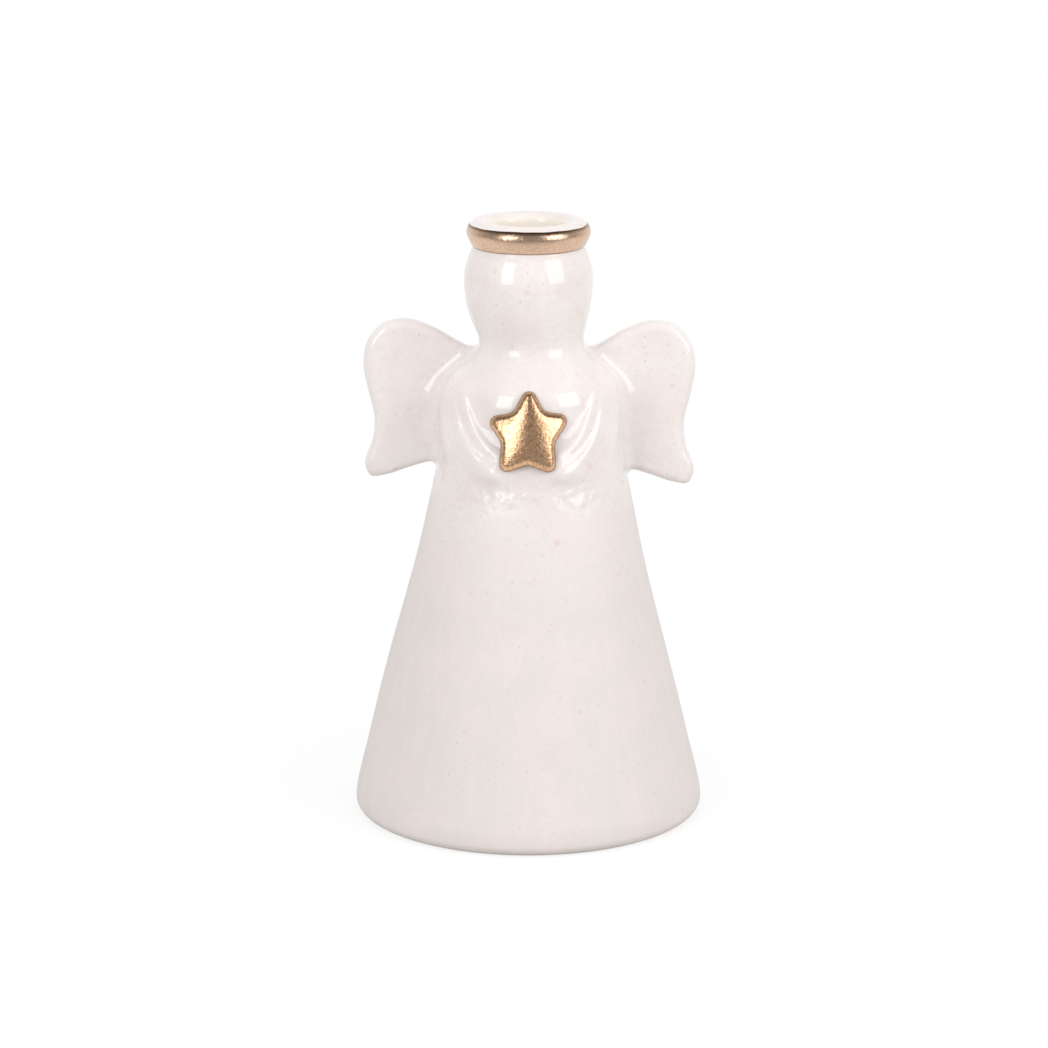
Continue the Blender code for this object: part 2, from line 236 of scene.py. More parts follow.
def barDistance(x, y, z, centres, radius):
    # a chain of round bars whose radius changes along it, the same on both sides
    x = np.abs(x)
    nearest = np.full(np.broadcast(x, y, z).shape, 1e9)
    for a, b, ra, rb in zip(centres[:-1], centres[1:], radius[:-1], radius[1:]):
        run = b - a
        share = ((x - a[0]) * run[0] + (y - a[1]) * run[1] + (z - a[2]) * run[2]) / (run @ run)
        share = np.clip(share, 0, 1)
        gap = np.sqrt((x - a[0] - share * run[0]) ** 2 + (y - a[1] - share * run[1]) ** 2
                      + (z - a[2] - share * run[2]) ** 2)
        nearest = np.minimum(nearest, gap - ra - share * (rb - ra))
    return nearest


def foldHeight(x, z):
    # how far the folds stand out, seen from the front, the same on both sides: across each crest line
    # a bump (1 - (d / reach)^2)^2 of the distance d, whose reach goes over from inwards to outwards
    x = np.abs(x)
    total = 0
    for fold in arms["folds"]:
        crest = smoothPath(fold, arms["foldPoints"])
        nearest = np.full(np.broadcast(x, z).shape, 1e9)
        reach, proud = np.ones(nearest.shape), np.zeros(nearest.shape)
        for a, b in zip(crest[:-1], crest[1:]):
            run = b - a
            length = math.hypot(run[0], run[1])
            share = np.clip(((x - a[0]) * run[0] + (z - a[1]) * run[1]) / length ** 2, 0, 1)
            out, up = x - a[0] - share * run[0], z - a[1] - share * run[1]
            gap = np.hypot(out, up) + 1e-9
            side = 0.5 + 0.5 * (up * run[0] - out * run[1]) / (length * gap)
            closer = gap < nearest
            nearest = np.where(closer, gap, nearest)
            wide = a[2] + share * run[2] + side * (a[3] - a[2] + share * (run[3] - run[2]))
            reach = np.where(closer, wide, reach)
            proud = np.where(closer, a[4] + share * run[4], proud)
        total = total + proud * np.maximum(1 - (nearest / reach) ** 2, 0) ** 2
    return total


def angelDistance(x, y, z):
    # the turned robe and head, the sleeves run into it, the folds raised in front, then the wings
    radius = outsideRadius(z)
    steepness = (outsideRadius(z + nudge) - outsideRadius(z - nudge)) / (2 * nudge)
    body = (np.hypot(x - swayAt(z), y) - radius) / np.sqrt(1 + steepness ** 2)
    upper = smoothPath(arms["upper"], arms["upperPoints"])
    body = softUnion(body, barDistance(x, y, z, upper[:, :3], upper[:, 3]), arms["softening"])
    body = softUnion(body, barDistance(x, y, z, *armCentres(arms["sleeve"])), arms["softening"])
    body = body - foldHeight(x, z) * np.clip(-y / arms["foldsFade"], 0, 1)
    for name in ("left", "right"):
        body = softUnion(body, wingDistance(x, y, z, wings[name]), smoothThrough(wings["softening"], z))
    return body


# the grid on which wings, sleeves and body are run together, and the gap to the turned rings beside it
net = dict(step=0.6, low=(-52.2, -36.0, 94.8), high=(52.2, 32.0, 153.0), gap=0.4)


def surfaceNet(values, low, step):
    # one point in each cell that the surface passes through, at the mean of its edges' crossings,
    # and one quad round each grid edge that it crosses
    cells = tuple(n - 1 for n in values.shape)
    total = np.zeros(cells + (3,))
    count = np.zeros(cells)
    crossings = []
    for axis in range(3):
        near = np.moveaxis(values, axis, 0)[:-1]
        far = np.moveaxis(values, axis, 0)[1:]
        crosses = (near < 0) != (far < 0)
        share = np.where(crosses, near / np.where(crosses, near - far, 1), 0)
        crosses = np.moveaxis(crosses, 0, axis)
        share = np.moveaxis(share, 0, axis)
        crossings.append((crosses, np.moveaxis(near < 0, 0, axis)))
        others = [(axis + 1) % 3, (axis + 2) % 3]
        for first in (0, 1):
            for second in (0, 1):
                pick = [slice(None)] * 3
                pick[others[0]] = slice(first, first + cells[others[0]])
                pick[others[1]] = slice(second, second + cells[others[1]])
                here = crosses[tuple(pick)]
                total[..., axis] += share[tuple(pick)]
                total[..., others[0]] += here * first
                total[..., others[1]] += here * second
                count += here
    active = count > 0
    number = np.full(cells, -1)
    number[active] = np.arange(active.sum())
    points = low + step * (np.argwhere(active) + total[active] / count[active][:, None])
    quads = []
    for axis, (crosses, nearInside) in enumerate(crossings):
        b, c = (axis + 1) % 3, (axis + 2) % 3
        at = np.argwhere(crosses)
        at = at[(at[:, b] > 0) & (at[:, b] < cells[b]) & (at[:, c] > 0) & (at[:, c] < cells[c])]
        corners = []
        for stepB, stepC in ((1, 1), (0, 1), (0, 0), (1, 0)):
            cell = at.copy()
            cell[:, b] -= stepB
            cell[:, c] -= stepC
            corners.append(number[tuple(cell.T)])
        quad = np.stack(corners, 1)
        outward = nearInside[tuple(at.T)]
        quads.append(np.where(outward[:, None], quad, quad[:, ::-1]))
    return points, np.concatenate(quads)


def gradient(points):
    # slope of the distance, from the difference across a tenth of a millimetre
    slopes = []
    for axis in range(3):
        ends = []
        for way in (nudge, -nudge):
            moved = points.copy()
            moved[:, axis] += way
            ends.append(angelDistance(*moved.T))
        slopes.append((ends[0] - ends[1]) / (2 * nudge))
    return np.stack(slopes, 1)


def settle(points):
    # moves the points along the slope onto the surface
    for _ in range(2):
        slope = gradient(points)
        points = points - (angelDistance(*points.T) / (slope ** 2).sum(1))[:, None] * slope
    return points


def gridQuads(rows, steps, closed=False):
    # quads between rows of points that run round; closed joins the last row to the first
    row, column = np.mgrid[0:rows if closed else rows - 1, 0:steps]
    nextRow, nextColumn = (row + 1) % rows, (column + 1) % steps
    return np.stack([row * steps + column, row * steps + nextColumn,
                     nextRow * steps + nextColumn, nextRow * steps + column], 2).reshape(-1, 4)


def fan(first, second, pole):
    # a triangle from each edge of a ring, first to second, to one point
    return np.stack([first, second, np.full_like(first, pole)], 1)


def turnedGrid(profile, steps):
    # (radius, height) points spun about Z, as rows of points and quads; a row on the axis is one point
    profile = np.array(profile, float)
    angle = np.arange(steps) * math.tau / steps
    poleFirst, poleLast = profile[0, 0] == 0, profile[-1, 0] == 0
    rings = profile[int(poleFirst):len(profile) - int(poleLast)]
    points = np.stack([rings[:, :1] * np.cos(angle), rings[:, :1] * np.sin(angle),
                       np.broadcast_to(rings[:, 1:], (len(rings), steps))], 2).reshape(-1, 3)
    quads = gridQuads(len(rings), steps)
    triangles = np.zeros((0, 3), int)
    ring = np.arange(steps)
    following = (ring + 1) % steps
    if poleFirst:
        points = np.concatenate([points, [(0, 0, profile[0, 1])]])
        triangles = np.concatenate([triangles, fan(following, ring, len(points) - 1)])
    if poleLast:
        points = np.concatenate([points, [(0, 0, profile[-1, 1])]])
        top = (len(rings) - 1) * steps
        triangles = np.concatenate([triangles, fan(top + ring, top + following, len(points) - 1)])
    return points, quads, triangles, len(rings)


def zipRings(points, lower, upper):
    # triangles between two rings about the axis, taken in the order of their angles
    rings = []
    for ring in (lower, upper):
        angle = np.arctan2(points[ring, 1], points[ring, 0])
        order = np.argsort(angle)
        rings.append((ring[order], angle[order]))
    (low, lowAngle), (high, highAngle) = rings
    order = np.argsort(np.concatenate([lowAngle, highAngle]), kind="stable")
    onLow = order < len(low)
    atLow = (np.cumsum(onLow) - 1) % len(low)
    atHigh = (np.cumsum(~onLow) - 1) % len(high)
    third = np.where(onLow, high[atHigh], high[atHigh - 1])
    second = np.where(onLow, low[atLow], high[atHigh])
    first = np.where(onLow, low[atLow - 1], low[atLow])
    return np.stack([first, second, third], 1)


def edgeRings(points, quads):
    # the open rings of a net of quads: points of edges with one face, split into lower and upper
    ends = np.concatenate([quads[:, [i, (i + 1) % 4]] for i in range(4)])
    _, where, uses = np.unique(np.sort(ends, 1), axis=0, return_index=True, return_counts=True)
    openPoints = np.unique(ends[where[uses == 1]])
    middle = (net["low"][2] + net["high"][2]) / 2
    return openPoints[points[openPoints, 2] < middle], openPoints[points[openPoints, 2] >= middle]


def meshPiece(name, points, faces, materials, normals=None, edgeShading=None):
    # a smooth-shaded object at the origin, from points in mm and lists of triangles and quads;
    # a normal of zero length leaves that point's to Blender; the gilt's painted shade is given at each point
    mesh = bpy.data.meshes.new(name)
    sizes = np.concatenate([np.full(len(f), f.shape[1]) for f in faces])
    corners = np.concatenate([f.reshape(-1) for f in faces]).astype(np.int32)
    mesh.vertices.add(len(points))
    mesh.vertices.foreach_set("co", (points * mm).astype(np.float32).reshape(-1))
    mesh.loops.add(len(corners))
    mesh.loops.foreach_set("vertex_index", corners)
    mesh.polygons.add(len(sizes))
    mesh.polygons.foreach_set("loop_start", (np.cumsum(sizes) - sizes).astype(np.int32))
    mesh.polygons.foreach_set("use_smooth", np.ones(len(sizes), bool))
    mesh.update(calc_edges=True)
    mesh.validate()
    if edgeShading is not None:
        attribute = mesh.attributes.new("edgeShading", "FLOAT", "POINT")
        attribute.data.foreach_set("value", edgeShading.astype(np.float32))
    if normals is not None:
        mesh.normals_split_custom_set_from_vertices(normals.astype(np.float32))
    for material in materials:
        mesh.materials.append(material)
    piece = bpy.data.objects.new(name, mesh)
    bpy.context.scene.collection.objects.link(piece)
    return piece


halo = dict(
    # (radius, height) up the flank of the rim and over to the lip, mm
    flank=(
        (16.3, 170.6), (16.85, 171.6), (17.45, 172.8), (17.95, 174.0), (18.15, 175.0), (18.0, 176.1),
        (17.55, 177.0), (16.95, 177.65), (16.3, 178.05),
    ),
    giltFrom=170.75, giltToRadius=17.15,  # the film's lower edge by height, its upper one by radius
    filmProud=0.05, filmDepth=0.25,  # mm off the rim and into it, so that the piece is closed
    filmAtEdge=0.15, filmThickens=8.0,  # share of it at the painted edges, and how fast it gains
    wobble=0.16, lowerWobble=0.4,  # the hand-painted edge wanders this much, mm; the lower one's share
    wander=((0.5, 3, 0.6), (0.3, 7, 2.0), (0.2, 16, 0.0)),  # share, waves round the ring, start
    # painted shade: darkened in a line along the lower edge and in a band along the upper one, in shares of
    # the height
    shadeLine=0.06, shadeBandFrom=0.84, shadeBandOver=0.12,
    samples=200, steps=288, rows=26,
)


def upperProfile():
    # head from the net's top edge to the crown, rim, lip, socket bore and floor to the middle
    heights = np.linspace(net["high"][2] + net["gap"], halo["flank"][0][1], casting["headRows"])[:-1]
    head = np.stack([outsideRadius(heights), heights], 1)
    rim = smoothPath(halo["flank"], casting["rimRows"])
    lip, bore, top = casting["lipRadius"], casting["socketRadius"], casting["top"]
    overLip = [(lip + out, top - down) for out, down in casting["lip"]]
    overMouth = [(bore + out, top - down) for out, down in casting["mouth"]]
    crest = smoothPath([halo["flank"][-1], *overLip, *overMouth], casting["lipRows"])[1:]
    floor, corner = casting["socketFloor"], casting["socketCorner"]
    heights = np.linspace(overMouth[-1][1], floor + corner, casting["boreRows"])[1:-1]
    wall = np.stack([np.full_like(heights, bore), heights], 1)
    turn = arcPoints((bore - corner, floor + corner), corner, 0, -90, 7)
    middle = np.stack([np.linspace(bore - corner, 0, 6)[1:], np.full(5, floor)], 1)
    return np.concatenate([head, rim, crest, wall, turn, middle])


def lowerProfile():
    # hollow from the middle of its ceiling down to the foot ring, then up the outside of the skirt
    neck, ceiling, wall = casting["hollowNeckRadius"], casting["hollowTop"], casting["wall"]
    corner = casting["hollowCorner"]
    cap = np.stack([np.linspace(0, neck - corner, 4), np.full(4, ceiling)], 1)
    turn = arcPoints((neck - corner, ceiling - corner), corner, 90, 0, 5)[1:]
    heights = np.array(casting["hollowHeights"])
    inside = np.stack([outsideRadius(heights) - wall, heights], 1)
    inside[0, 0] = neck
    inside[1, 0] = (neck + inside[2, 0]) / 2
    rounding, bevel = casting["footRounding"], casting["footRingBevel"]
    base = casting["outside"][0][1]
    ringInside = base - casting["footRingWidth"] - rounding / 2
    inner = smoothPath([*inside, (ringInside, rounding)], casting["hollowRows"])
    edge = [(ringInside, bevel), (ringInside + bevel, 0.0)]
    ring = np.stack([np.linspace(ringInside + bevel, base - rounding, 8)[1:-1], np.zeros(6)], 1)
    foot = arcPoints((base - rounding, rounding), rounding, -90, 0, 10)
    heights = np.linspace(rounding, net["low"][2] - net["gap"], casting["skirtRows"])[1:]
    skirt = np.stack([outsideRadius(heights), heights], 1)
    return np.concatenate([cap, turn, inner, edge, ring, foot, skirt])


def makeCasting(material):
    # the net of the middle part with the turned head and skirt zipped on to its two open rings
    low, high, step = np.array(net["low"]), np.array(net["high"]), net["step"]
    axes = [np.arange(low[i], high[i] + step / 2, step) for i in range(3)]
    values = angelDistance(axes[0][:, None, None], axes[1][None, :, None], axes[2][None, None, :])
    points, quads = surfaceNet(values, low, step)
    points = settle(points)
    lowerRing, upperRing = edgeRings(points, quads)
    upper, upperQuads, upperTriangles, _ = turnedGrid(upperProfile(), casting["steps"])
    lower, lowerQuads, lowerTriangles, rows = turnedGrid(lowerProfile(), casting["steps"])
    lower[:, 0] += swayAt(lower[:, 2])
    upperStart = len(points)
    lowerStart = upperStart + len(upper)
    points = np.concatenate([points, upper, lower])
    ring = np.arange(casting["steps"])
    upperZip = zipRings(points, upperRing, upperStart + ring)
    lowerZip = zipRings(points, lowerStart + (rows - 1) * casting["steps"] + ring, lowerRing)
    faces = [quads, upperStart + upperQuads, lowerStart + lowerQuads,
             upperStart + upperTriangles, lowerStart + lowerTriangles, upperZip, lowerZip]
    # the outer surface is shaded by the slope of the distance, the rest by its faces
    normals = np.zeros_like(points)
    radius, height = np.hypot(points[:, 0] - swayAt(points[:, 2]), points[:, 1]), points[:, 2]
    outer = height > casting["footRounding"] + casting["outerFrom"]
    outer &= height < halo["flank"][0][1] - casting["outerTo"]
    outer &= radius > outsideRadius(height) - casting["outerDepth"]
    slope = gradient(points[outer])
    normals[outer] = slope / np.linalg.norm(slope, axis=1, keepdims=True)
    return meshPiece("angelCasting", points, faces, [material], normals)


def makeHaloGilt(material):
    # the rim's flank stood off by the film, closed behind, its painted edges wandering round the ring
    steps, samples = halo["steps"], halo["samples"]
    path = smoothPath(halo["flank"], samples)
    tangent = np.gradient(path, axis=0)
    normal = np.stack([tangent[:, 1], -tangent[:, 0]], 1)
    normal /= np.linalg.norm(normal, axis=1, keepdims=True)
    number = np.arange(samples)
    widest = path[:, 0].argmax()
    first = np.interp(halo["giltFrom"], path[:, 1], number)
    last = np.interp(-halo["giltToRadius"], -path[widest:, 0], number[widest:])
    angle = np.arange(steps) * math.tau / steps
    wander = sum(share * np.sin(waves * angle + phase) for share, waves, phase in halo["wander"])
    perMm = (samples - 1) / lengthAlong(path)[-1]
    start = first + np.abs(wander) * halo["lowerWobble"] * halo["wobble"] * perMm
    end = last + wander * halo["wobble"] * perMm
    share = np.linspace(0, 1, halo["rows"])[:, None]
    at = start + (end - start) * share
    place = np.stack([np.interp(at, number, path[:, i]) for i in (0, 1)], 2)
    facing = np.stack([np.interp(at, number, normal[:, i]) for i in (0, 1)], 2)
    fromEdge = np.minimum(share, 1 - share)
    lift = halo["filmProud"] * np.minimum(1, halo["filmThickens"] * fromEdge + halo["filmAtEdge"])[..., None]
    front = place + facing * lift
    back = place[::-1] - facing[::-1] * halo["filmDepth"]
    radius, height = np.moveaxis(np.concatenate([front, back]), 2, 0)
    points = np.stack([radius * np.cos(angle), radius * np.sin(angle), height], 2).reshape(-1, 3)
    quads = gridQuads(len(radius), steps, closed=True)
    # painted shade along the film's lower edge and upper band; the hidden back is all shaded
    edgeShade = np.maximum(1 - share / halo["shadeLine"], (share - halo["shadeBandFrom"]) / halo["shadeBandOver"])
    edgeShade = edgeShade.clip(0, 1)
    edgeShade = np.concatenate([edgeShade, edgeShade * 0 + 1]) * np.ones(steps)
    return meshPiece("haloGilt", points, [quads], [material], edgeShading=edgeShade.reshape(-1))


star = dict(
    # (degrees from +X, radius) of the corners before they are rounded, tip and notch in turn
    corners=(
        (89.2, 15.0), (127.0, 7.5), (159.0, 13.7), (197.7, 8.3), (234.4, 14.9),
        (269.3, 9.1), (303.5, 14.8), (340.0, 8.2), (383.2, 14.0), (414.0, 7.8),
    ),
    tipRounding=2.3, notchRounding=3.6,
    middle=(-0.1, 121.1),  # out from the middle and height, mm
    proud=4.2, bedding=6.0, lean=13.0,  # mm in front of the robe and into it, degrees leaning back
    # the last is the mm in from the star's outline over which painted shade darkens the face
    edgeRounding=1.7, shadeEdge=0.5,
    pillow=0.3, pillowReach=6.5,
    # across, the face falls away like a soft ridge that is broader lower down; up, it bows gently
    ridgeAt=0.4, ridgeRadius=13.8, ridgeSpread=1.0, ridgeSlope=0.48, bowUp=64.0,
    # the rows stand closer together towards the edge
    outlinePoints=260, cornerPoints=10, rows=36, rowCrowding=1.6, wallRows=8,
)


def starOutline():
    # five tips and five notches, each corner an arc that touches its two edges
    degrees, radius = np.array(star["corners"]).T
    corners = np.stack([radius * np.cos(np.radians(degrees)), radius * np.sin(np.radians(degrees))], 1)
    outline = []
    for i, point in enumerate(corners):
        rounding = star["notchRounding"] if i % 2 else star["tipRounding"]
        before, after = (corners[j % len(corners)] - point for j in (i - 1, i + 1))
        before, after = math.atan2(before[1], before[0]), math.atan2(after[1], after[0])
        turn = (after - before + math.pi) % math.tau - math.pi
        middle = before + turn / 2
        reach = rounding / math.sin(abs(turn / 2))
        centre = point + reach * np.array([math.cos(middle), math.sin(middle)])
        sweep = math.degrees(math.pi - abs(turn)) * (1 if turn > 0 else -1)
        facing = math.degrees(middle) + 180
        first, last = facing + sweep / 2, facing - sweep / 2
        outline.append(arcPoints(centre, rounding, first, last, star["cornerPoints"]))
    outline = np.concatenate(outline)
    outline = np.concatenate([outline, outline[:1]])
    along = lengthAlong(outline)
    t = np.linspace(0, along[-1], star["outlinePoints"], endpoint=False)
    return np.stack([np.interp(t, along, outline[:, i]) for i in (0, 1)], 1)


def makeStarGilt(material):
    # rows of the outline shrunk towards the middle; the face rises by a quarter round at the edge
    # and a pillow inside it, both of the distance from the outline, and bows back across and upwards
    outline = starOutline()
    rounding, bedding, proud = star["edgeRounding"], star["bedding"], star["proud"]
    scales = 1 - np.linspace(0, 1, star["rows"])[:-1] ** star["rowCrowding"]
    rows = outline[None] * scales[:, None, None]
    inset = np.maximum(-loopDistance(rows[..., 0], rows[..., 1], outline), 0)
    inset[0] = 0
    rise = rounding * np.sqrt(1 - (1 - np.minimum(inset / rounding, 1)) ** 2)
    rise += star["pillow"] * (1 - (1 - np.minimum(inset / star["pillowReach"], 1)) ** 2)
    slope = star["ridgeSlope"]
    across = rows[..., 0] - star["ridgeAt"]
    soft = (star["ridgeRadius"] - star["ridgeSpread"] * rows[..., 1]) * slope
    bow = slope * (np.sqrt(soft ** 2 + across ** 2) - soft) + rows[..., 1] ** 2 / (2 * star["bowUp"])
    edge = proud - rounding - star["pillow"]
    face = np.concatenate([rows, (edge + rise - bow)[..., None]], 2)
    share = np.linspace(0, 1, star["wallRows"] + 1)[:-1, None]
    wallHeights = -bedding + (edge - bow[0] + bedding) * share
    wall = np.concatenate([np.broadcast_to(outline, (star["wallRows"],) + outline.shape),
                           wallHeights[..., None]], 2)
    sheet = np.concatenate([wall, face])
    count, steps = sheet.shape[:2]
    soft = star["ridgeRadius"] * slope
    crest = proud - slope * (math.hypot(soft, star["ridgeAt"]) - soft)
    points = np.concatenate([sheet.reshape(-1, 3), [(0, 0, -bedding), (0, 0, crest)]])
    ring = np.arange(steps)
    nextRing = (ring + 1) % steps
    last = (count - 1) * steps
    fans = np.concatenate([fan(nextRing, ring, count * steps),
                           fan(last + ring, last + nextRing, count * steps + 1)])
    # the plate's own axes: across, up the leaning face, and out of it, from the middle of the face
    lean = math.radians(star["lean"])
    x, up, out = points.T
    centreX, centreZ = star["middle"]
    front = outsideRadius(np.array(centreZ)) + proud
    back = out - proud
    placed = np.stack([centreX + x, -front + up * math.sin(lean) - back * math.cos(lean),
                       centreZ + up * math.cos(lean) + back * math.sin(lean)], 1)
    # painted shade on the star's walls and the face's first half millimetre; the back pole shaded, the crest
    # not
    edgeShade = 1 - np.clip(inset / star["shadeEdge"], 0, 1).reshape(-1)
    edgeShade = np.concatenate([np.ones(star["wallRows"] * steps), edgeShade, [1, 0]])
    return meshPiece("starGilt", placed, [gridQuads(count, steps), fans], [material], edgeShading=edgeShade)


def newMaterial(name):
    material = bpy.data.materials.new(name)
    material.use_nodes = True
    tree = material.node_tree
    shader = tree.nodes["Principled BSDF"]
    return material, tree, shader


creamGlaze = dict(
    body="#F3EDEB",
    skirt="#E3DDDB", skirtShadeFrom=116.0, skirtShadeTo=66.0,  # painted shade: the glaze greyed towards the foot, where less light falls, mm up
    bare="#D6C8B8", bareFrom=0.5, bareTo=0.2,  # clay of the foot ring, mm up
    socketLight="#FAF2E9", socketLightRadius=11.6, socketLightEdge=0.6, socketLightAbove=154.0,  # painted light: the socket's inside lightened and warmed, as light gathered in it makes it, mm
    # soft patterns: size in mm, and the band of the noise over which each colour comes in
    clouds=dict(colour="#EDE1DE", size=14.0, detail=3.0, band=(0.4, 0.65), strength=0.55),
    mottle=dict(colour="#DDD0CA", size=1.5, detail=3.0, band=(0.45, 0.7), strength=0.2),
    streaks=dict(colour="#EFE5DA", size=3.2, detail=2.0, band=(0.5, 0.75), strength=0.3),
    streakLength=45.0,  # mm
    # specks in the glaze: spacing and largest radius, mm
    flecks=dict(colour="#C6A598", spacing=2.3, radius=0.5, strength=0.55),
    spots=dict(colour="#DCB3A6", spacing=9.0, radius=1.7, strength=0.4),
    ior=1.52,
    glossRoughness=0.05, satinRoughness=0.62,
    satinBelow=89.0, glossAbove=107.0,  # mm up the robe
    rippleSize=3.6, rippleHeight=1.2, rippleDetail=1.0,  # mm
    rippleBelow=108.0, rippleFullBelow=101.0,  # mm up the robe
    grainSize=0.75, grainHeight=0.012, grainDetail=2.0,  # mm
)


def glazeMaterial():
    # Speckled stoneware glaze, poured and fired: a thin glass coat over a cream body, so the eye sees
    # sharp window reflections on the head and chest, and a drier, grainier gloss down the skirt
    g = creamGlaze
    material, tree, shader = newMaterial("speckledCreamGlaze")
    place = addNode(tree, "ShaderNodeTexCoord").outputs["Object"]
    height = addNode(tree, "ShaderNodeSeparateXYZ", {0: place}).outputs["Z"]
    # painted shade: the glaze darkens down the skirt
    down = addNode(tree, "ShaderNodeMapRange", {
        "Value": height, "From Min": g["skirtShadeFrom"] * mm, "From Max": g["skirtShadeTo"] * mm})
    colour = addNode(tree, "ShaderNodeMix", {
        0: down.outputs[0], 6: linear(g["body"]), 7: linear(g["skirt"])}, data_type="RGBA")
    drawn = addNode(tree, "ShaderNodeMapping", {
        "Vector": place, "Scale": (1, 1, g["streaks"]["size"] / g["streakLength"])})
    for pattern, vector in ((g["clouds"], place), (g["mottle"], place), (g["streaks"], drawn.outputs[0])):
        noise = addNode(tree, "ShaderNodeTexNoise", {
            "Vector": vector, "Scale": 1 / (pattern["size"] * mm), "Detail": pattern["detail"]})
        share = addNode(tree, "ShaderNodeMapRange", {
            "Value": noise.outputs[0], "From Min": pattern["band"][0], "From Max": pattern["band"][1],
            "To Max": pattern["strength"]})
        colour = addNode(tree, "ShaderNodeMix", {
            0: share.outputs[0], 6: colour.outputs[2], 7: linear(pattern["colour"])}, data_type="RGBA")
    for pattern in (g["flecks"], g["spots"]):
        cells = addNode(tree, "ShaderNodeTexVoronoi", {
            "Vector": place, "Scale": 1 / (pattern["spacing"] * mm)})
        chance = addNode(tree, "ShaderNodeSeparateColor", {0: cells.outputs["Color"]})
        size = addNode(tree, "ShaderNodeMath", {
            0: chance.outputs[0], 1: pattern["radius"] / pattern["spacing"]}, operation="MULTIPLY")
        share = addNode(tree, "ShaderNodeMapRange", {
            "Value": cells.outputs["Distance"], "From Min": size.outputs[0], "From Max": 0.0,
            "To Max": pattern["strength"]}, interpolation_type="SMOOTHSTEP")
        colour = addNode(tree, "ShaderNodeMix", {
            0: share.outputs[0], 6: colour.outputs[2], 7: linear(pattern["colour"])}, data_type="RGBA")
    # painted light: inside the socket, above its floor, the glaze is lightened
    level = addNode(tree, "ShaderNodeVectorMath", {0: place, 1: (1, 1, 0)}, operation="MULTIPLY")
    away = addNode(tree, "ShaderNodeVectorMath", {0: level.outputs[0]}, operation="LENGTH")
    within = addNode(tree, "ShaderNodeMapRange", {
        "Value": away.outputs["Value"], "From Min": (g["socketLightRadius"] + g["socketLightEdge"]) * mm,
        "From Max": g["socketLightRadius"] * mm})
    above = addNode(tree, "ShaderNodeMath", {0: height, 1: g["socketLightAbove"] * mm}, operation="GREATER_THAN")
    socketLit = addNode(tree, "ShaderNodeMath", {
        0: within.outputs[0], 1: above.outputs[0]}, operation="MULTIPLY")
    colour = addNode(tree, "ShaderNodeMix", {
        0: socketLit.outputs[0], 6: colour.outputs[2], 7: linear(g["socketLight"])}, data_type="RGBA")
    clay = addNode(tree, "ShaderNodeMapRange", {
        "Value": height, "From Min": g["bareFrom"] * mm, "From Max": g["bareTo"] * mm})
    colour = addNode(tree, "ShaderNodeMix", {
        0: clay.outputs[0], 6: colour.outputs[2], 7: linear(g["bare"])}, data_type="RGBA")
    tree.links.new(colour.outputs[2], shader.inputs["Base Color"])
    satin = addNode(tree, "ShaderNodeMapRange", {
        "Value": height, "From Min": g["glossAbove"] * mm, "From Max": g["satinBelow"] * mm},
        interpolation_type="SMOOTHSTEP")
    dull = addNode(tree, "ShaderNodeMapRange", {
        "Value": satin.outputs[0], "To Min": g["glossRoughness"], "To Max": g["satinRoughness"]})
    dull = addNode(tree, "ShaderNodeMath", {0: dull.outputs[0], 1: clay.outputs[0]}, operation="MAXIMUM")
    tree.links.new(dull.outputs[0], shader.inputs["Roughness"])
    shader.inputs["IOR"].default_value = g["ior"]
    ripple = addNode(tree, "ShaderNodeTexNoise", {
        "Vector": place, "Scale": 1 / (g["rippleSize"] * mm), "Detail": g["rippleDetail"]})
    skirt = addNode(tree, "ShaderNodeMapRange", {
        "Value": height, "From Min": g["rippleBelow"] * mm, "From Max": g["rippleFullBelow"] * mm},
        interpolation_type="SMOOTHSTEP")
    glossy = addNode(tree, "ShaderNodeMath", {0: 1.0, 1: satin.outputs[0]}, operation="SUBTRACT")
    ripples = addNode(tree, "ShaderNodeMath", {
        0: skirt.outputs[0], 1: glossy.outputs[0]}, operation="MULTIPLY")
    waved = addNode(tree, "ShaderNodeBump", {
        "Height": ripple.outputs[0], "Distance": g["rippleHeight"] * mm, "Strength": ripples.outputs[0]})
    grain = addNode(tree, "ShaderNodeTexNoise", {
        "Vector": place, "Scale": 1 / (g["grainSize"] * mm), "Detail": g["grainDetail"]})
    grained = addNode(tree, "ShaderNodeBump", {
        "Height": grain.outputs[0], "Distance": g["grainHeight"] * mm, "Strength": satin.outputs[0],
        "Normal": waved.outputs[0]})
    tree.links.new(grained.outputs[0], shader.inputs["Normal"])
    return material


goldLustre = dict(
    # the third colour is painted shade: the brown that the gilt's edges and the star's walls are darkened to
    bright="#E9BE98", dark="#A87850", edgeShade="#805C3E",
    rim="#DDBDA3", rimAbove=165.0,  # paler on the halo's rim, mm up
    smoothest=0.10, roughest=0.25, roughBand=(0.3, 0.7),  # roughness, over this band of the grain
    patchSize=0.9, patchDetail=2.0, patchRoughness=0.6, patchBand=(0.45, 0.7),  # mm
    patchesOnStar=0.6, patchesOnRim=0.22,  # how much they darken
    grainSize=0.85, grainHeight=0.11,  # mm, coarser than the real grain, which would not show
    grainDetail=4.0, grainRoughness=0.65,
)


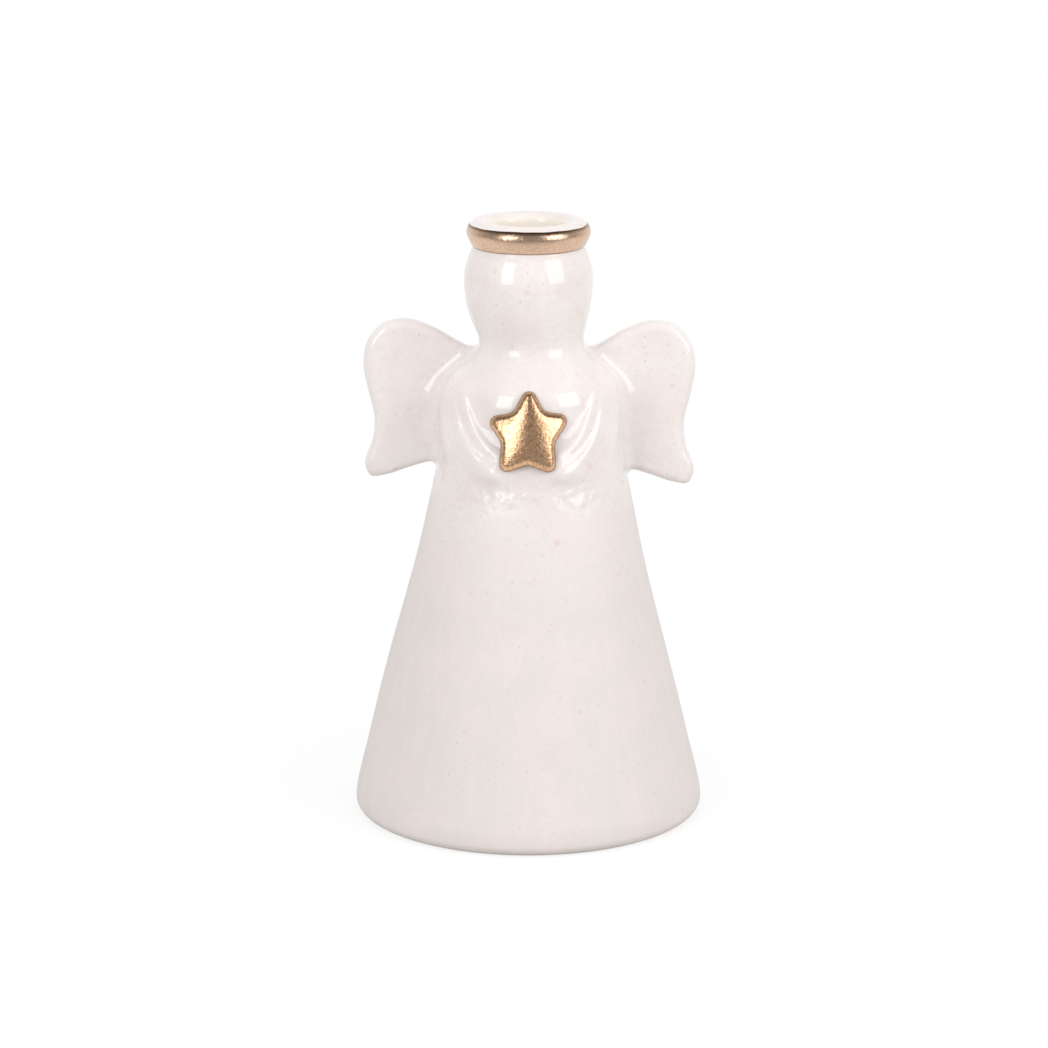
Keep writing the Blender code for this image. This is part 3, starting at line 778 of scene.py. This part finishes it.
def goldMaterial():
    # Gold lustre brushed over the glaze and fired: a metal film, satin and slightly grainy, with
    # painted shade darkening it to brown along its edges and on the star's walls
    g = goldLustre
    material, tree, shader = newMaterial("brushedGoldLustre")
    place = addNode(tree, "ShaderNodeTexCoord").outputs["Object"]
    height = addNode(tree, "ShaderNodeSeparateXYZ", {0: place}).outputs["Z"]
    onRim = addNode(tree, "ShaderNodeMath", {0: height, 1: g["rimAbove"] * mm}, operation="GREATER_THAN")
    bright = addNode(tree, "ShaderNodeMix", {
        0: onRim.outputs[0], 6: linear(g["bright"]), 7: linear(g["rim"])}, data_type="RGBA")
    patches = addNode(tree, "ShaderNodeTexNoise", {
        "Vector": place, "Scale": 1 / (g["patchSize"] * mm), "Detail": g["patchDetail"],
        "Roughness": g["patchRoughness"]})
    patchy = addNode(tree, "ShaderNodeMapRange", {
        "Value": patches.outputs[0], "From Min": g["patchBand"][0], "From Max": g["patchBand"][1]})
    most = addNode(tree, "ShaderNodeMapRange", {
        "Value": onRim.outputs[0], "To Min": g["patchesOnStar"], "To Max": g["patchesOnRim"]})
    share = addNode(tree, "ShaderNodeMath", {
        0: patchy.outputs[0], 1: most.outputs[0]}, operation="MULTIPLY")
    colour = addNode(tree, "ShaderNodeMix", {
        0: share.outputs[0], 6: bright.outputs[2], 7: linear(g["dark"])}, data_type="RGBA")
    # painted shade at the gilt's edges, read from each point
    edge = addNode(tree, "ShaderNodeAttribute", attribute_name="edgeShading")
    colour = addNode(tree, "ShaderNodeMix", {
        0: edge.outputs["Fac"], 6: colour.outputs[2], 7: linear(g["edgeShade"])}, data_type="RGBA")
    tree.links.new(colour.outputs[2], shader.inputs["Base Color"])
    shader.inputs["Metallic"].default_value = 1.0
    grain = addNode(tree, "ShaderNodeTexNoise", {
        "Vector": place, "Scale": 1 / (g["grainSize"] * mm), "Detail": g["grainDetail"],
        "Roughness": g["grainRoughness"]})
    dull = addNode(tree, "ShaderNodeMapRange", {
        "Value": grain.outputs[0], "From Min": g["roughBand"][0], "From Max": g["roughBand"][1],
        "To Min": g["smoothest"], "To Max": g["roughest"]})
    tree.links.new(dull.outputs[0], shader.inputs["Roughness"])
    rough = addNode(tree, "ShaderNodeBump", {
        "Height": grain.outputs[0], "Distance": g["grainHeight"] * mm, "Strength": 1.0})
    tree.links.new(rough.outputs[0], shader.inputs["Normal"])
    return material


studio = dict(
    cameraSide=-1.34, cameraBack=1048.0, cameraHeight=348.0,  # mm from the middle of the foot
    cameraPitch=13.99,  # degrees down
    focalLength=124.5, sensorWidth=36.0, clipStart=20.0,  # mm
    softboxAim=300.0,  # mm up, above the head
    background="#FFFFFF",
    ambientLow=0.57, ambientTop=1.04,  # what matt surfaces get from level with them and from overhead
    roomFront=0.38, roomBack=1.0,  # what gloss reflects from the camera's side and from the white sweep
    roomTurns=(-0.1, 0.8),  # between the two, by how far the direction points to the back
    ceiling=0.45,  # the share of that left straight overhead
    ceilingTurns=(0.35, 0.85),  # from all of it to that share, by how far the direction points up
    paperBounce="#C4C1BE",  # what the paper throws back on to the object
    paperTurns=(-500.0, -50.0),  # mm, where gloss sees the paper go from roomFront to roomBack
    floorSize=2400.0,  # mm
    floorShadow=0.22,  # share of the true shadow that shows beside the foot
    shadowEnds=150.0,  # mm from the middle, where the paper is plain white
)

softboxes = dict(
    left=dict(azimuth=-38.0, distance=1000.0, width=400.0, height=620.0, bottom=165.0, brightness=3.7),
    right=dict(azimuth=53.0, distance=1000.0, width=560.0, height=700.0, bottom=165.0, brightness=2.95),
)


def addCamera():
    scene = bpy.context.scene
    view = bpy.data.objects.new("studioCamera", bpy.data.cameras.new("studioCamera"))
    scene.collection.objects.link(view)
    view.location = (studio["cameraSide"] * mm, -studio["cameraBack"] * mm, studio["cameraHeight"] * mm)
    view.rotation_euler = (math.radians(90 - studio["cameraPitch"]), 0, 0)
    view.data.sensor_width = studio["sensorWidth"]
    view.data.lens = studio["focalLength"]
    view.data.clip_start = studio["clipStart"] * mm
    scene.camera = view


def addSoftboxes():
    # each panel stands on its azimuth, taken from the camera's side, and faces a point above the head
    aim = Vector((0, 0, studio["softboxAim"] * mm))
    for name, box in softboxes.items():
        light = bpy.data.lights.new(name + "Softbox", "AREA")
        light.shape = "RECTANGLE"
        light.size, light.size_y = box["width"] * mm, box["height"] * mm
        light.energy = box["brightness"] * math.pi * light.size * light.size_y
        panel = bpy.data.objects.new(name + "Softbox", light)
        bpy.context.scene.collection.objects.link(panel)
        azimuth = math.radians(box["azimuth"])
        place = Vector((math.sin(azimuth) * box["distance"] * mm, -math.cos(azimuth) * box["distance"] * mm,
                        (box["bottom"] + box["height"] / 2) * mm))
        panel.location = place
        panel.rotation_euler = (aim - place).to_track_quat("-Z", "Y").to_euler()


def addWorld():
    # white to the camera; to gloss, white behind and darker on the camera's side; a plain level to the rest
    world = bpy.data.worlds.new("whiteStudio")
    bpy.context.scene.world = world
    world.use_nodes = True
    tree = world.node_tree
    tree.nodes.clear()
    rays = addNode(tree, "ShaderNodeLightPath").outputs
    direction = addNode(tree, "ShaderNodeTexCoord").outputs["Generated"]
    depth, upward = addNode(tree, "ShaderNodeSeparateXYZ", {0: direction}).outputs[1:3]
    room = addNode(tree, "ShaderNodeMapRange", {
        "Value": depth, "From Min": studio["roomTurns"][0], "From Max": studio["roomTurns"][1],
        "To Min": studio["roomFront"], "To Max": studio["roomBack"]})
    ambient = addNode(tree, "ShaderNodeMapRange", {
        "Value": upward, "To Min": studio["ambientLow"], "To Max": studio["ambientTop"]})
    overhead = addNode(tree, "ShaderNodeMapRange", {
        "Value": upward, "From Min": studio["ceilingTurns"][0], "From Max": studio["ceilingTurns"][1],
        "To Min": 1.0, "To Max": studio["ceiling"]})
    room = addNode(tree, "ShaderNodeMath", {
        0: room.outputs[0], 1: overhead.outputs[0]}, operation="MULTIPLY")
    mirrored = addNode(tree, "ShaderNodeMath", {
        0: rays["Is Glossy Ray"], 1: rays["Is Transmission Ray"]}, operation="MAXIMUM")
    level = addNode(tree, "ShaderNodeMix", {
        0: mirrored.outputs[0], 2: ambient.outputs[0], 3: room.outputs[0]}, data_type="FLOAT")
    shown = addNode(tree, "ShaderNodeMix", {
        0: rays["Is Camera Ray"], 2: level.outputs[0], 3: 1.0}, data_type="FLOAT")
    back = addNode(tree, "ShaderNodeBackground", {
        "Color": linear(studio["background"]), "Strength": shown.outputs[0]})
    addNode(tree, "ShaderNodeOutputWorld", {"Surface": back.outputs[0]})


def addFloor():
    # white paper that shows the background's white to the camera and keeps a share of the shadow
    half = studio["floorSize"] / 2
    points = np.array([(-half, -half, 0), (half, -half, 0), (half, half, 0), (-half, half, 0)], float)
    material = bpy.data.materials.new("whitePaper")
    material.use_nodes = True
    tree = material.node_tree
    tree.nodes.clear()
    rays = addNode(tree, "ShaderNodeLightPath").outputs
    bounced = addNode(tree, "ShaderNodeMix", {
        0: rays["Is Diffuse Ray"], 6: linear(studio["background"]), 7: linear(studio["paperBounce"])},
        data_type="RGBA")
    paper = addNode(tree, "ShaderNodeBsdfDiffuse", {"Color": bounced.outputs[2]})
    place = addNode(tree, "ShaderNodeTexCoord").outputs["Object"]
    depth = addNode(tree, "ShaderNodeSeparateXYZ", {0: place}).outputs["Y"]
    mirrored = addNode(tree, "ShaderNodeMath", {
        0: rays["Is Glossy Ray"], 1: rays["Is Transmission Ray"]}, operation="MAXIMUM")
    nearer = addNode(tree, "ShaderNodeMapRange", {
        "Value": depth, "From Min": studio["paperTurns"][0] * mm, "From Max": studio["paperTurns"][1] * mm,
        "To Min": studio["roomFront"], "To Max": studio["roomBack"]})
    strength = addNode(tree, "ShaderNodeMix", {
        0: mirrored.outputs[0], 2: 1.0, 3: nearer.outputs[0]}, data_type="FLOAT")
    glow = addNode(tree, "ShaderNodeEmission", {
        "Color": linear(studio["background"]), "Strength": strength.outputs[0]})
    seen = addNode(tree, "ShaderNodeMath", {
        0: rays["Is Camera Ray"], 1: mirrored.outputs[0]}, operation="MAXIMUM")
    away = addNode(tree, "ShaderNodeVectorMath", {0: place}, operation="LENGTH")
    white = addNode(tree, "ShaderNodeMapRange", {
        "Value": away.outputs["Value"], "From Min": casting["outside"][0][1] * mm,
        "From Max": studio["shadowEnds"] * mm, "To Min": 1 - studio["floorShadow"]},
        interpolation_type="SMOOTHSTEP")
    share = addNode(tree, "ShaderNodeMath", {0: seen.outputs[0], 1: white.outputs[0]}, operation="MULTIPLY")
    mixed = addNode(tree, "ShaderNodeMixShader", {
        0: share.outputs[0], 1: paper.outputs[0], 2: glow.outputs[0]})
    addNode(tree, "ShaderNodeOutputMaterial", {"Surface": mixed.outputs[0]})
    floor = meshPiece("studioFloor", points, [np.array([[0, 1, 2, 3]])], [material])


bpy.context.scene.view_settings.view_transform = "Standard"
addCamera()
addSoftboxes()
addWorld()
addFloor()
print("studio set up")

glaze = glazeMaterial()
gold = goldMaterial()
angelCasting = makeCasting(glaze)
print("casting made:", len(angelCasting.data.polygons), "faces")
haloGilt = makeHaloGilt(gold)
starGilt = makeStarGilt(gold)
print("halo rim and star gilded")

for piece, slot in ((angelCasting, "glazed_stoneware"), (haloGilt, "gold_lustre"), (starGilt, "gold_lustre")):
    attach(piece, "root")
    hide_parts("angel_body")
